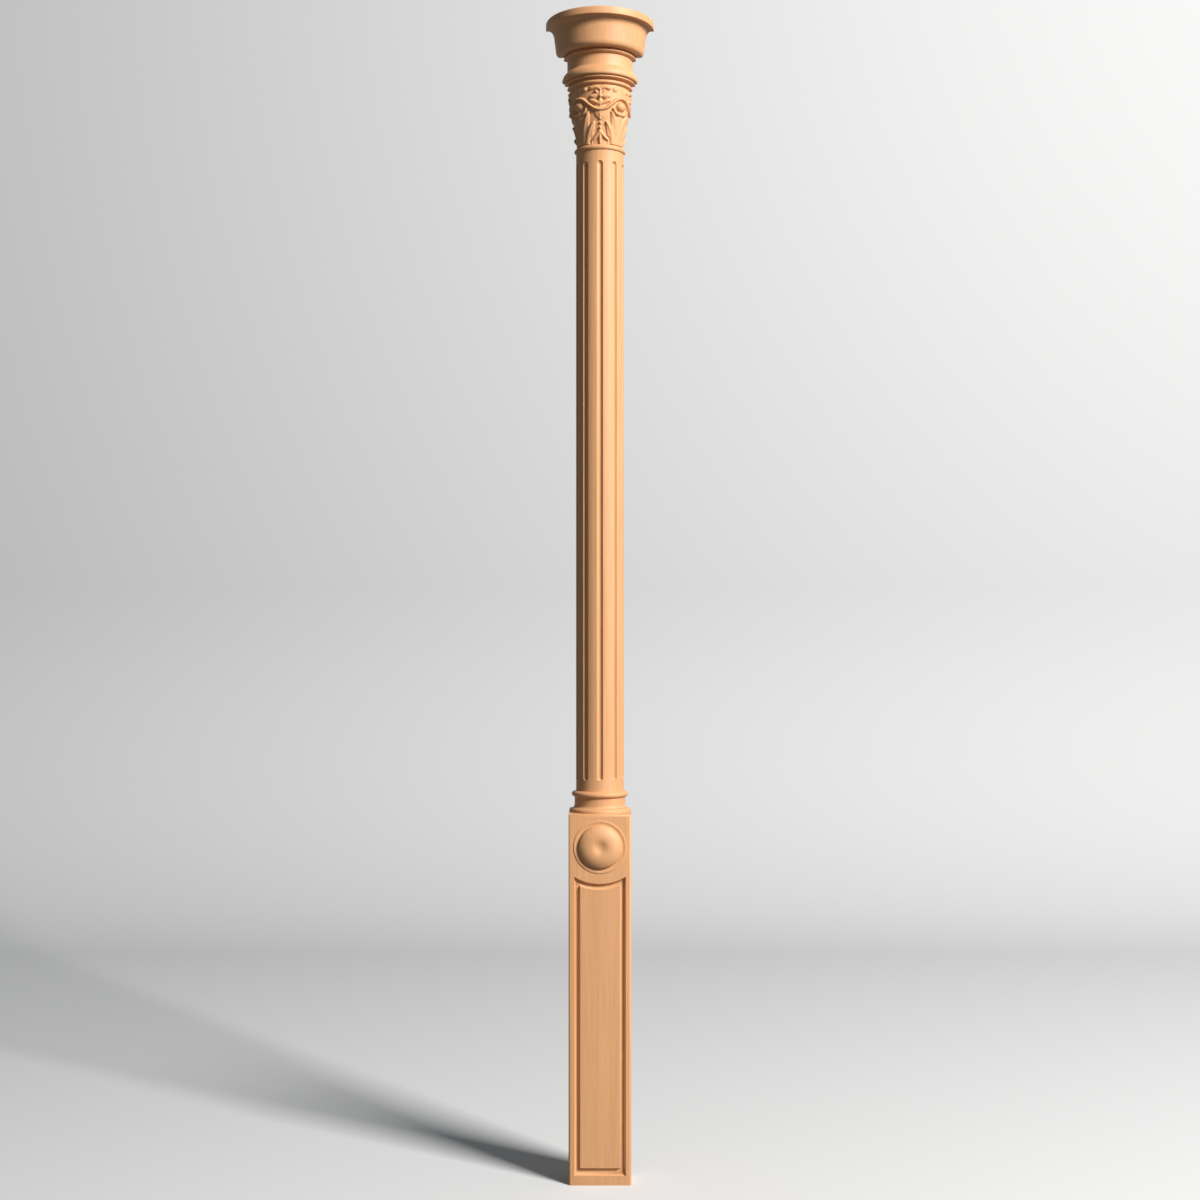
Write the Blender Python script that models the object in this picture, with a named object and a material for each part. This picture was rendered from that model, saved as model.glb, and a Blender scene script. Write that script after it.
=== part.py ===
"""A carved wooden pilaster onlay: a fluted half column with a leaf capital on a panelled pedestal, in one piece.

The front faces -Y and the flat back faces +Y. The origin is the centre of the pedestal's underside.
Lengths are in metres and angles in degrees. The column is turned about an upright axis that lies
a little behind the back, so a saw cut leaves slightly less than half of it.
"""

import math

import bmesh
import bpy
import numpy as np

# Overall
HEIGHT = 2.200
AXIS_BEHIND_BACK = 0.006
SAW_ALLOWANCE = 0.014

# Pedestal
PEDESTAL_HEIGHT = 0.696
PEDESTAL_WIDTH = 0.118
PEDESTAL_DEPTH = 0.059
PEDESTAL_EDGE = 0.0045

# Channel round a raised field, under a rail that dips round the roundel
STILE_WIDTH = 0.0106
BOTTOM_RAIL = 0.0178
ARCH_RADIUS = 0.094
ARCH_BELOW_TOP = 0.130
CHANNEL_DEPTH = 0.0065
CHANNEL_SIDE = 0.0114
CHANNEL_BOTTOM = 0.0146
CHANNEL_TOP = 0.0120
FIELD_BELOW_FACE = 0.0006

# Roundel on the pedestal's top square
ROUNDEL_BELOW_TOP = 0.0610
ROUNDEL_RADIUS = 0.0498
ROUNDEL_SEAT = 0.0060
ROUNDEL_RIM_HEIGHT = 0.0024
ROUNDEL_RIM_WIDTH = 0.0042
ROUNDEL_GROOVE_WIDTH = 0.0014
ROUNDEL_DOME_HEIGHT = 0.0122
ROUNDEL_CREST_RADIUS = 0.0165
ROUNDEL_DIMPLE_DEPTH = 0.0034

# Column foot, upwards from the pedestal
DISC_INSET = 0.0005
DISC_FACE = 0.0030
DISC_SHOULDER = 0.0050
DISC_SEAT = 0.0040
FOOT_COVE_HEIGHT = 0.0066
FOOT_COVE_REACH = 0.0040
FOOT_NECK_HEIGHT = 0.0138
FOOT_NECK_PROUD = 0.0028
FOOT_BEAD_HEIGHT = 0.0118
FOOT_BEAD_PROUD = 0.0084

# Shaft and flutes
SHAFT_RADIUS = 0.046
FLUTE_COUNT = 5
FLUTE_PITCH = 36.0
FLUTE_WIDTH = 0.0118
FLUTE_DEPTH = 0.0042
FLUTE_FOOT_MARGIN = 0.0210
FLUTE_HEAD_MARGIN = 0.0205

# Capital, upwards from the shaft. A projection is measured from the shaft's face.
ASTRAGAL_HEIGHT = 0.0095
ASTRAGAL_PROUD = 0.0034
BELL_HEIGHT = 0.1105
BELL_FOOT_RADIUS = 0.0445
BELL_HEAD_RADIUS = 0.0575
BELL_CURVE = 1.4
BELL_RIM_HEIGHT = 0.0072
BELL_RIM_PROUD = 0.0170
RIM_GROOVE_HEIGHT = 0.0025
RIM_GROOVE_PROUD = 0.0135
UPPER_RING_HEIGHT = 0.0044
UPPER_RING_PROUD = 0.0220
QUIRK_HEIGHT = 0.0009
QUIRK_PROUD = 0.0203
LIP_HEIGHT = 0.0038
LIP_PROUD = 0.0264
LIP_ROUND = 0.0030
FLARE_HEIGHT = 0.0150
FLARE_HEAD_PROUD = 0.0182
CAVETTO_HEIGHT = 0.0034
FRIEZE_HEIGHT = 0.0203
FRIEZE_PROUD = 0.0167
CROWN_BEAD_HEIGHT = 0.0065
CROWN_BEAD_PROUD = 0.0236
CROWN_GAP_HEIGHT = 0.0015
CROWN_SOFFIT_PROUD = 0.0310
OVOLO_HEIGHT = 0.0100
OVOLO_PROUD = 0.0384
CROWN_FACE_HEIGHT = 0.0250
CROWN_FACE_PROUD = 0.0415
CROWN_COVE_HEIGHT = 0.0155
CROWN_COVE_PROUD = 0.0510
RIM_HEIGHT = 0.0140
RIM_PROUD = 0.0574
RIM_EDGE = 0.0010

# How fine the round and carved surfaces are
HALF_SPREAD = 100.0
TURNED_SEGMENTS = 30
BELL_COLUMNS = 60
BELL_ROWS = 46
CURVE_STEPS = 3
FLUTE_SIDES = 12
ROUNDEL_SEGMENTS = 32
ARCH_STEPS = 10
BEVEL_STEPS = 2

# Carving on the bell, in shares of its height: across from a front's centre line, then up from the foot.
# It repeats in each quarter turn, and the volutes stand on the corners between two fronts.
SWAG = [(0.0, 0.565), (0.05, 0.572), (0.10, 0.593), (0.167, 0.644), (0.225, 0.700), (0.283, 0.750), (0.345, 0.776)]
SWAG_HALF_WIDTH = 0.026
SWAG_RELIEF = 0.054
EYE_HEIGHT = 0.638
EYE_RADIUS = 0.078
EYE_RELIEF = 0.070
CUP = [(0.225, 0.590), (0.243, 0.545), (0.285, 0.513), (0.37, 0.502)]
CUP_HALF_WIDTH = 0.024
CUP_RELIEF = 0.050
FLOWER_HEIGHT = 0.787
PETALS = [(40.0, 0.135, 0.040), (81.0, 0.150, 0.038), (118.0, 0.158, 0.042), (180.0, 0.152, 0.040)]
BOW = [(0.020, 0.925), (0.075, 0.942), (0.150, 0.928)]
BOW_HALF_WIDTH = 0.036
BOW_RELIEF = 0.036
PETAL_RELIEF = 0.034
KNOB_RADIUS = 0.034
KNOB_RELIEF = 0.062
PISTIL = [(0.0, 0.80), (0.0, 0.85), (0.0, 0.90)]
BUDS = [(0.255, 0.915)]
BUD_RADIUS = 0.040
BUD_RELIEF = 0.026
CALYX = {"base": (0.0, 0.59), "bend": (0.0, 0.53), "tip": (0.0, 0.41), "half_width": 0.100, "relief": (0.030, 0.026)}
BEAD_STRING = [(0.480, 0.017), (0.420, 0.020), (0.350, 0.023), (0.270, 0.030)]
BEAD_RELIEF = 0.040
HUSK = [
    {"base": (0.0, 0.215), "bend": (0.0, 0.11), "tip": (0.0, 0.0), "half_width": 0.036, "relief": (0.036, 0.034)},
    {"base": (0.0, 0.215), "bend": (0.058, 0.120), "tip": (0.146, 0.060), "half_width": 0.030, "relief": (0.040, 0.036)},
]
LEAVES = [
    {"base": (0.285, -0.10), "bend": (0.31, 0.25), "tip": (0.345, 0.57), "half_width": 0.095, "relief": (0.022, 0.026)},
    {"base": (0.250, -0.10), "bend": (0.305, 0.28), "tip": (0.186, 0.552), "half_width": 0.086, "relief": (0.026, 0.046)},
    {"base": (0.222, -0.10), "bend": (0.212, 0.22), "tip": (0.092, 0.378), "half_width": 0.086, "relief": (0.028, 0.050)},
]
LEAF_RIB = 0.25
FOLD_LINE = [(0.0, 0.255), (0.050, 0.203), (0.100, 0.153), (0.146, 0.106), (0.155, 0.055), (0.156, -0.02)]
FOLD_HALF_WIDTH = 0.017
END_FADE = 0.012

# Values that follow from the sizes above
BACK_Y = PEDESTAL_DEPTH / 2
FRONT_Y = -PEDESTAL_DEPTH / 2
AXIS_Y = BACK_Y + AXIS_BEHIND_BACK
DISC_RADIUS = math.hypot(PEDESTAL_WIDTH / 2 - DISC_INSET, AXIS_BEHIND_BACK)
CAPITAL_HEIGHT = (
    ASTRAGAL_HEIGHT + BELL_HEIGHT + BELL_RIM_HEIGHT + RIM_GROOVE_HEIGHT + UPPER_RING_HEIGHT
    + QUIRK_HEIGHT + LIP_HEIGHT + FLARE_HEIGHT + CAVETTO_HEIGHT + FRIEZE_HEIGHT + CROWN_BEAD_HEIGHT
    + CROWN_GAP_HEIGHT + OVOLO_HEIGHT + CROWN_FACE_HEIGHT + CROWN_COVE_HEIGHT + RIM_HEIGHT
)
SHAFT_FOOT = (
    PEDESTAL_HEIGHT + DISC_FACE + DISC_SHOULDER + FOOT_COVE_HEIGHT + FOOT_NECK_HEIGHT + FOOT_BEAD_HEIGHT
)
SHAFT_HEAD = HEIGHT - CAPITAL_HEIGHT
BELL_FOOT = SHAFT_HEAD + ASTRAGAL_HEIGHT
BELL_HEAD = BELL_FOOT + BELL_HEIGHT


# Mesh helpers


def new_object(name, bm, color=(0.62, 0.38, 0.20), helper=True):
    """Makes an object from bm. A helper only cuts or joins another object and isn't rendered."""
    bmesh.ops.recalc_face_normals(bm, faces=bm.faces)
    mesh = bpy.data.meshes.new(name)
    bm.to_mesh(mesh)
    bm.free()
    obj = bpy.data.objects.new(name, mesh)
    bpy.context.scene.collection.objects.link(obj)
    if helper:
        obj.hide_render = True
        obj.display_type = "WIRE"
    else:
        obj.data.materials.append(carved_wood(color))
    return obj


def carved_wood(color):
    """Smooth bare wood of a warm tan."""
    material = bpy.data.materials.new("carved_wood")
    material.use_nodes = True
    shader = material.node_tree.nodes["Principled BSDF"]
    shader.inputs["Base Color"].default_value = (*color, 1.0)
    shader.inputs["Roughness"].default_value = 0.55
    shader.inputs["Metallic"].default_value = 0.0
    return material


def add_ring(bm, points):
    """A closed loop of vertices and edges through points."""
    verts = [bm.verts.new(point) for point in points]
    edges = [bm.edges.new((verts[i - 1], verts[i])) for i in range(len(verts))]
    return verts, edges


def skin(bm, rings):
    """A closed skin over rings of points, with a flat cap on the first and the last."""
    built = [add_ring(bm, ring) for ring in rings]
    for (low, low_edges), (high, high_edges) in zip(built, built[1:]):
        if len(low) == len(high):
            for i in range(len(low)):
                bm.faces.new((low[i - 1], low[i], high[i], high[i - 1]))
        else:
            bmesh.ops.bridge_loops(bm, edges=low_edges + high_edges)
    bm.faces.new(built[0][0])
    bm.faces.new(built[-1][0])


def boolean(obj, other, operation):
    modifier = obj.modifiers.new(f"{operation.lower()}_{other.name}", "BOOLEAN")
    modifier.operation = operation
    modifier.object = other


# Turned profiles


def straight(profile, radius, height):
    """Carries the profile on to radius, height above its last point."""
    profile.append((radius, profile[-1][1] + height))


def curve(profile, radius, height, start, end, steps=CURVE_STEPS):
    """Carries the profile on along an arc whose direction turns from start to end; 0 is outwards and 90 is up."""
    radius_0, z_0 = profile[-1]
    first, last = math.radians(start), math.radians(end)
    for step in range(1, steps + 1):
        angle = first + (last - first) * step / steps
        out = (math.sin(angle) - math.sin(first)) / (math.sin(last) - math.sin(first))
        up = (math.cos(first) - math.cos(angle)) / (math.cos(first) - math.cos(last))
        profile.append((radius_0 + (radius - radius_0) * out, z_0 + height * up))


def bead(profile, crest, end, height):
    """A half-round moulding that swells to the crest radius and comes back to the end radius."""
    curve(profile, crest, height / 2, 0, 90, CURVE_STEPS - 1)
    curve(profile, end, height / 2, 90, 180, CURVE_STEPS - 1)


def foot_profile():
    """From inside the pedestal up to the shaft."""
    neck = SHAFT_RADIUS + FOOT_NECK_PROUD
    profile = [(DISC_RADIUS, PEDESTAL_HEIGHT - DISC_SEAT)]
    straight(profile, DISC_RADIUS, DISC_SEAT + DISC_FACE)
    curve(profile, DISC_RADIUS - DISC_SHOULDER, DISC_SHOULDER, 90, 180)
    straight(profile, neck + FOOT_COVE_REACH, 0.0)
    curve(profile, neck, FOOT_COVE_HEIGHT, 175, 90)
    straight(profile, neck, FOOT_NECK_HEIGHT)
    bead(profile, SHAFT_RADIUS + FOOT_BEAD_PROUD, SHAFT_RADIUS, FOOT_BEAD_HEIGHT)
    return tidy(profile)


def astragal_profile():
    """The shaft's head and the small ring under the bell."""
    profile = [(SHAFT_RADIUS, SHAFT_HEAD)]
    bead(profile, SHAFT_RADIUS + ASTRAGAL_PROUD, BELL_FOOT_RADIUS, ASTRAGAL_HEIGHT)
    return profile


def crown_profile():
    """From the bell's head up to the top of the capital."""
    profile = [(BELL_HEAD_RADIUS, BELL_HEAD)]
    bead(profile, SHAFT_RADIUS + BELL_RIM_PROUD, SHAFT_RADIUS + RIM_GROOVE_PROUD, BELL_RIM_HEIGHT)
    straight(profile, SHAFT_RADIUS + RIM_GROOVE_PROUD, RIM_GROOVE_HEIGHT)
    bead(profile, SHAFT_RADIUS + UPPER_RING_PROUD, SHAFT_RADIUS + QUIRK_PROUD, UPPER_RING_HEIGHT)
    straight(profile, SHAFT_RADIUS + QUIRK_PROUD, QUIRK_HEIGHT)
    straight(profile, SHAFT_RADIUS + LIP_PROUD - LIP_ROUND, 0.0)
    curve(profile, SHAFT_RADIUS + LIP_PROUD, LIP_HEIGHT, 0, 90)
    curve(profile, SHAFT_RADIUS + FLARE_HEAD_PROUD, FLARE_HEIGHT, 90, 132)
    straight(profile, SHAFT_RADIUS + FRIEZE_PROUD, CAVETTO_HEIGHT)
    straight(profile, SHAFT_RADIUS + FRIEZE_PROUD, FRIEZE_HEIGHT)
    bead(profile, SHAFT_RADIUS + CROWN_BEAD_PROUD, SHAFT_RADIUS + QUIRK_PROUD, CROWN_BEAD_HEIGHT)
    straight(profile, SHAFT_RADIUS + QUIRK_PROUD, CROWN_GAP_HEIGHT)
    straight(profile, SHAFT_RADIUS + CROWN_SOFFIT_PROUD, 0.0)
    curve(profile, SHAFT_RADIUS + OVOLO_PROUD, OVOLO_HEIGHT, 0, 84)
    straight(profile, SHAFT_RADIUS + CROWN_FACE_PROUD, CROWN_FACE_HEIGHT)
    curve(profile, SHAFT_RADIUS + CROWN_COVE_PROUD, CROWN_COVE_HEIGHT, 82, 8)
    straight(profile, SHAFT_RADIUS + RIM_PROUD - RIM_EDGE, 0.0)
    straight(profile, SHAFT_RADIUS + RIM_PROUD, RIM_EDGE)
    straight(profile, SHAFT_RADIUS + RIM_PROUD, RIM_HEIGHT - 2 * RIM_EDGE)
    straight(profile, SHAFT_RADIUS + RIM_PROUD - RIM_EDGE, RIM_EDGE)
    return tidy(profile)


def tidy(profile):
    """The profile without points that lie on the one before."""
    kept = profile[:1]
    for point in profile[1:]:
        if math.dist(point, kept[-1]) > 1e-5:
            kept.append(point)
    return kept


# The bell's carving


def bell_radius(up):
    """The ground of the bell at a share of its height."""
    return BELL_FOOT_RADIUS + (BELL_HEAD_RADIUS - BELL_FOOT_RADIUS) * np.sin(math.pi / 2 * up) ** BELL_CURVE


def across_front(angle, radius):
    """How far across the nearer front an angle lies, as a share of the bell's height."""
    quarter = math.pi / 2
    return radius * np.sin(np.abs(angle - quarter * np.round(angle / quarter))) / BELL_HEIGHT


def bezier(base, bend, tip, steps=16):
    share = np.linspace(0.0, 1.0, steps)[:, None]
    base, bend, tip = (np.array(point) for point in (base, bend, tip))
    return base * (1 - share) ** 2 + bend * 2 * share * (1 - share) + tip * share**2


def smooth_path(points, steps=4):
    """A Catmull-Rom curve through points."""
    pts = [np.array(point) for point in points]
    pts = [2 * pts[0] - pts[1], *pts, 2 * pts[-1] - pts[-2]]
    path = []
    for a, b, c, d in zip(pts, pts[1:], pts[2:], pts[3:]):
        for t in np.arange(steps) / steps:
            bend = (2 * a - 5 * b + 4 * c - d) * t**2 + (3 * b - a - 3 * c + d) * t**3
            path.append(0.5 * (2 * b + (c - a) * t + bend))
    return np.array([*path, pts[-2]])


def along(path, across, up):
    """For each place, the share of the path's length at its nearest point, and the distance to that point."""
    start, step = path[:-1], np.diff(path, axis=0)
    length = np.linalg.norm(step, axis=1)
    place = np.stack([across, up], axis=-1)[..., None, :] - start
    part = np.clip((place * step).sum(-1) / length**2, 0.0, 1.0)
    distance = np.linalg.norm(place - part[..., None] * step, axis=-1)
    near = distance.argmin(-1)[..., None]
    before = np.concatenate([[0.0], np.cumsum(length)])
    travelled = before[near[..., 0]] + (np.take_along_axis(part, near, -1) * length[near])[..., 0]
    return travelled / before[-1], np.take_along_axis(distance, near, -1)[..., 0]


def dome(share):
    """A rounded swelling, 1 in the middle and 0 at share 1."""
    return np.sqrt(np.clip(1.0 - share**2, 0.0, 1.0))


def leaf(shape, across, up):
    """A pointed leaf on a bent midrib, hollowed beside the rib."""
    share, distance = along(bezier(shape["base"], shape["bend"], shape["tip"]), across, up)
    out = distance / (shape["half_width"] * np.clip(1.0 - share**3, 0.0, 1.0) ** 0.7 + 1e-6)
    rib = 1.0 - LEAF_RIB * np.sin(math.pi * np.clip(out, 0.0, 1.0)) ** 2
    low, high = shape["relief"]
    return (low + (high - low) * share**2) * dome(out) * rib


def roll(points, half_width, relief, across, up):
    """A stem of half-round section."""
    return relief * dome(along(smooth_path(points), across, up)[1] / half_width)


def ball(centre, radius, relief, across, up):
    return relief * dome(np.hypot(across - centre[0], up - centre[1]) / radius)


def petal(turn, reach, half_width, across, up):
    """One petal of the flower, at turn degrees from upright."""
    way = np.array([math.sin(math.radians(turn)), math.cos(math.radians(turn))])
    centre = np.array([0.0, FLOWER_HEIGHT])
    share, distance = along(np.array([centre + way * KNOB_RADIUS / 2, centre + way * reach]), across, up)
    width = half_width * (0.35 + 0.65 * np.sin(math.pi * np.clip(share, 0.0, 0.93)) ** 0.8)
    return PETAL_RELIEF * dome(distance / width) * (0.8 + 0.35 * share)


def bell_relief(across, up):
    """Height of the carving above the bell's ground, as a share of the bell's height."""
    relief = np.max([leaf(shape, across, up) for shape in LEAVES], axis=0)
    relief *= 1.0 - dome(along(smooth_path(FOLD_LINE), across, up)[1] / FOLD_HALF_WIDTH)
    corner = bell_radius(EYE_HEIGHT) * math.sin(math.pi / 4) / BELL_HEIGHT
    details = [leaf(shape, across, up) for shape in (*HUSK, CALYX)]
    details += [ball((0.0, height), radius, BEAD_RELIEF, across, up) for height, radius in BEAD_STRING]
    details += [ball(place, BUD_RADIUS, BUD_RELIEF, across, up) for place in BUDS]
    details += [petal(*shape, across, up) for shape in PETALS]
    details += [
        roll(SWAG, SWAG_HALF_WIDTH, SWAG_RELIEF, across, up),
        roll(CUP, CUP_HALF_WIDTH, CUP_RELIEF, across, up),
        roll(BOW, BOW_HALF_WIDTH, BOW_RELIEF, across, up),
        roll(PISTIL, KNOB_RADIUS / 2, KNOB_RELIEF * 0.8, across, up),
        ball((0.0, FLOWER_HEIGHT), KNOB_RADIUS, KNOB_RELIEF, across, up),
        ball((corner, EYE_HEIGHT), EYE_RADIUS, EYE_RELIEF, across, up),
    ]
    relief = np.maximum(relief, np.max(details, axis=0))
    return relief * np.clip(np.minimum(up, 1.0 - up) / END_FADE, 0.0, 1.0)


# The column


def arc(radius, z, segments=TURNED_SEGMENTS):
    """Points round the front of the axis, from one side of the back to the other."""
    angles = np.radians(np.linspace(-HALF_SPREAD, HALF_SPREAD, segments + 1))
    return [(radius * math.sin(a), AXIS_Y - radius * math.cos(a), z) for a in angles]


def bell_rings():
    """Rows of points over the carved bell. Each takes the mean relief of its own patch."""
    angles = np.radians(np.linspace(-HALF_SPREAD, HALF_SPREAD, BELL_COLUMNS + 1))
    ups = np.linspace(0.0, 1.0, BELL_ROWS + 1)
    angle, up = np.meshgrid(angles, ups)
    ground = bell_radius(up)
    offsets = [(i / 3, j / 3) for i in (-1, 0, 1) for j in (-1, 0, 1)]
    relief = np.mean([
        bell_relief(across_front(angle + i * (angles[1] - angles[0]), ground), np.clip(up + j / BELL_ROWS, 0.0, 1.0))
        for i, j in offsets
    ], axis=0)
    relief[[0, -1]] = 0.0
    radius = ground + BELL_HEIGHT * relief
    x, y = radius * np.sin(angle), AXIS_Y - radius * np.cos(angle)
    z = BELL_FOOT + BELL_HEIGHT * up
    return [list(zip(x[i], y[i], z[i])) for i in range(len(ups))]


def column():
    """The turned and carved column from its foot to the crown, in the round but for its back."""
    bm = bmesh.new()
    rings = [arc(radius, z) for radius, z in foot_profile()]
    rings += [arc(radius, z) for radius, z in astragal_profile()[:-1]]
    rings += bell_rings()
    rings += [arc(radius, z) for radius, z in crown_profile()[1:]]
    skin(bm, rings)
    return new_object("column_turning", bm)


def flutes():
    """Round-ended channels, cut upright into the shaft."""
    radius = (FLUTE_WIDTH**2 / 4 + FLUTE_DEPTH**2) / (2 * FLUTE_DEPTH)
    centre = SHAFT_RADIUS - FLUTE_DEPTH + radius
    half_width = FLUTE_WIDTH / 2
    low = SHAFT_FOOT + FLUTE_FOOT_MARGIN + half_width
    high = SHAFT_HEAD - FLUTE_HEAD_MARGIN - half_width
    bm = bmesh.new()
    for index in range(FLUTE_COUNT):
        turn = math.radians(FLUTE_PITCH * (index - (FLUTE_COUNT - 1) / 2))
        x, y = centre * math.sin(turn), AXIS_Y - centre * math.cos(turn)
        rings = []
        for middle, tilts in ((low, (-75, -50, -25, 0)), (high, (0, 25, 50, 75))):
            for tilt in np.radians(tilts):
                size = radius * math.cos(tilt)
                z = middle + radius * math.sin(tilt)
                rings.append([
                    (x + size * math.cos(a), y + size * math.sin(a), z)
                    for a in turn + 2 * math.pi * np.arange(FLUTE_SIDES) / FLUTE_SIDES
                ])
        skin(bm, rings)
    return new_object("flute_cutter", bm)


# The pedestal


def pedestal():
    """The square block, with its upright front edges and its top front edge eased."""
    bm = bmesh.new()
    half = PEDESTAL_WIDTH / 2
    outline = [(-half, FRONT_Y), (half, FRONT_Y), (half, BACK_Y + SAW_ALLOWANCE), (-half, BACK_Y + SAW_ALLOWANCE)]
    skin(bm, [[(x, y, z) for x, y in outline] for z in (0.0, PEDESTAL_HEIGHT)])
    eased = [
        edge for edge in bm.edges
        if all(abs(v.co.y - FRONT_Y) < 1e-6 for v in edge.verts) and any(v.co.z > 1e-6 for v in edge.verts)
    ]
    bmesh.ops.bevel(bm, geom=eased, offset=PEDESTAL_EDGE, segments=BEVEL_STEPS, profile=0.5, affect="EDGES")
    return new_object("pilaster", bm, helper=False)


def panel_outline(side, bottom, top, y):
    """The panel's outline, drawn in from the frame's inner edge by side, bottom and top, at depth y."""
    half = PEDESTAL_WIDTH / 2 - STILE_WIDTH - side
    radius = ARCH_RADIUS + top
    centre = PEDESTAL_HEIGHT - ARCH_BELOW_TOP + ARCH_RADIUS
    reach = math.asin(min(half / radius, 0.98))
    arch = [
        (radius * math.sin(a), y, centre - radius * math.cos(a))
        for a in np.linspace(reach, -reach, ARCH_STEPS + 1)
    ]
    foot = BOTTOM_RAIL + bottom
    return [(-half, y, foot), (half, y, foot), *arch]


def panel_channel():
    """What is carved away round the field and from the field's own face."""
    bm = bmesh.new()
    field = FRONT_Y + FIELD_BELOW_FACE
    sections = [
        (0.0, FRONT_Y - CHANNEL_DEPTH),
        (0.0, FRONT_Y),
        (0.22, FRONT_Y + CHANNEL_DEPTH * 0.72),
        (0.42, FRONT_Y + CHANNEL_DEPTH),
        (0.58, FRONT_Y + CHANNEL_DEPTH),
        (0.78, FRONT_Y + CHANNEL_DEPTH * 0.72),
        (1.0, field),
    ]
    skin(bm, [
        panel_outline(CHANNEL_SIDE * share, CHANNEL_BOTTOM * share, CHANNEL_TOP * share, y)
        for share, y in sections
    ])
    return new_object("panel_channel", bm)


def roundel_profile():
    """Radius and height above the pedestal's face, from inside the block out to the rim and in to the dimple."""
    rim_inside = ROUNDEL_RADIUS - ROUNDEL_RIM_WIDTH
    profile = [(ROUNDEL_RADIUS, -ROUNDEL_SEAT)]
    straight(profile, ROUNDEL_RADIUS, ROUNDEL_SEAT + ROUNDEL_RIM_HEIGHT * 0.6)
    curve(profile, ROUNDEL_RADIUS - ROUNDEL_RIM_WIDTH / 2, ROUNDEL_RIM_HEIGHT * 0.4, 90, 180, 2)
    curve(profile, rim_inside, -ROUNDEL_RIM_HEIGHT * 0.8, 180, 265, 2)
    straight(profile, rim_inside - ROUNDEL_GROOVE_WIDTH, 0.0)
    curve(profile, ROUNDEL_CREST_RADIUS, ROUNDEL_DOME_HEIGHT, 130, 180, CURVE_STEPS + 2)
    crest = profile[-1][1]
    for share in (0.75, 0.45, 0.15):
        profile.append((ROUNDEL_CREST_RADIUS * share, crest - ROUNDEL_DIMPLE_DEPTH * (1 - share**2) ** 2.5))
    return profile


def roundel():
    """The turned boss on the pedestal's top square."""
    bm = bmesh.new()
    centre = PEDESTAL_HEIGHT - ROUNDEL_BELOW_TOP
    angles = 2 * math.pi * np.arange(ROUNDEL_SEGMENTS) / ROUNDEL_SEGMENTS
    skin(bm, [
        [(radius * math.cos(a), FRONT_Y - height, centre + radius * math.sin(a)) for a in angles]
        for radius, height in roundel_profile()
    ])
    return new_object("roundel_boss", bm)


def saw_cut():
    """Everything behind the flat back."""
    bm = bmesh.new()
    reach = HEIGHT
    outline = [(-reach, BACK_Y), (reach, BACK_Y), (reach, BACK_Y + reach), (-reach, BACK_Y + reach)]
    skin(bm, [[(x, y, z) for x, y in outline] for z in (-reach, 2 * reach)])
    return new_object("saw_cut", bm)


def main():
    for obj in list(bpy.data.objects):
        bpy.data.objects.remove(obj)
    turned = column()
    boolean(turned, flutes(), "DIFFERENCE")
    body = pedestal()
    boolean(body, panel_channel(), "DIFFERENCE")
    boolean(body, roundel(), "UNION")
    boolean(body, turned, "UNION")
    boolean(body, saw_cut(), "DIFFERENCE")


main()
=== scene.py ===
import math

import bmesh
import bpy
import numpy as np
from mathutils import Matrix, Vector


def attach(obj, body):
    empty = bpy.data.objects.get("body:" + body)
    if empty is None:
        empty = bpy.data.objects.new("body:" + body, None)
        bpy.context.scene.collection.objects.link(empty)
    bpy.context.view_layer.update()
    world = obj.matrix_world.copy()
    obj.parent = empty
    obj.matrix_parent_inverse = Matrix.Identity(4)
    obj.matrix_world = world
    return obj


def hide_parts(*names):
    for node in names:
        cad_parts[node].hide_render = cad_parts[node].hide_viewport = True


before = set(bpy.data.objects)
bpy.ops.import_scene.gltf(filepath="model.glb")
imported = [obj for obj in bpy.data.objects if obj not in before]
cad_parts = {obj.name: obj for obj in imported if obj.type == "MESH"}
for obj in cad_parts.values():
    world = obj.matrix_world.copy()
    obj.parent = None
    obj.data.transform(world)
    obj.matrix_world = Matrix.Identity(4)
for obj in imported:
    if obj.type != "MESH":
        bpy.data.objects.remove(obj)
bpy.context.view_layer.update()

print("frame loaded")

# All lengths are in metres and angles in degrees. The front faces -Y and the flat back faces +Y.

tiny = 1e-6


# shared mesh tools

def newObject(name, bm):
    bmesh.ops.recalc_face_normals(bm, faces=bm.faces)
    mesh = bpy.data.meshes.new(name)
    bm.to_mesh(mesh)
    bm.free()
    obj = bpy.data.objects.new(name, mesh)
    bpy.context.scene.collection.objects.link(obj)
    return obj


def addRing(bm, points):
    verts = [bm.verts.new(point) for point in points]
    for i in range(len(verts)):
        bm.edges.new((verts[i - 1], verts[i]))
    return verts


def skin(bm, rings):
    # closed skin over rings of points, capped flat at both ends
    built = [addRing(bm, ring) for ring in rings]
    for low, high in zip(built, built[1:]):
        for i in range(len(low)):
            bm.faces.new((low[i - 1], low[i], high[i], high[i - 1]))
    bm.faces.new(built[0])
    bm.faces.new(built[-1])


def around(count):
    # evenly spaced angles of a full turn
    return 2 * math.pi * np.arange(count) / count


def combine(obj, other, operation):
    # applies one exact Boolean to obj and removes the other object
    modifier = obj.modifiers.new(operation, "BOOLEAN")
    modifier.operation = operation
    modifier.object = other
    graph = bpy.context.evaluated_depsgraph_get()
    mesh = bpy.data.meshes.new_from_object(obj.evaluated_get(graph))
    obj.modifiers.clear()
    obj.data = mesh
    bpy.data.objects.remove(other)


# shared profile tools: a profile is a list of (radius, height)

def straight(profile, radius, height):
    profile.append((radius, profile[-1][1] + height))


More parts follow.
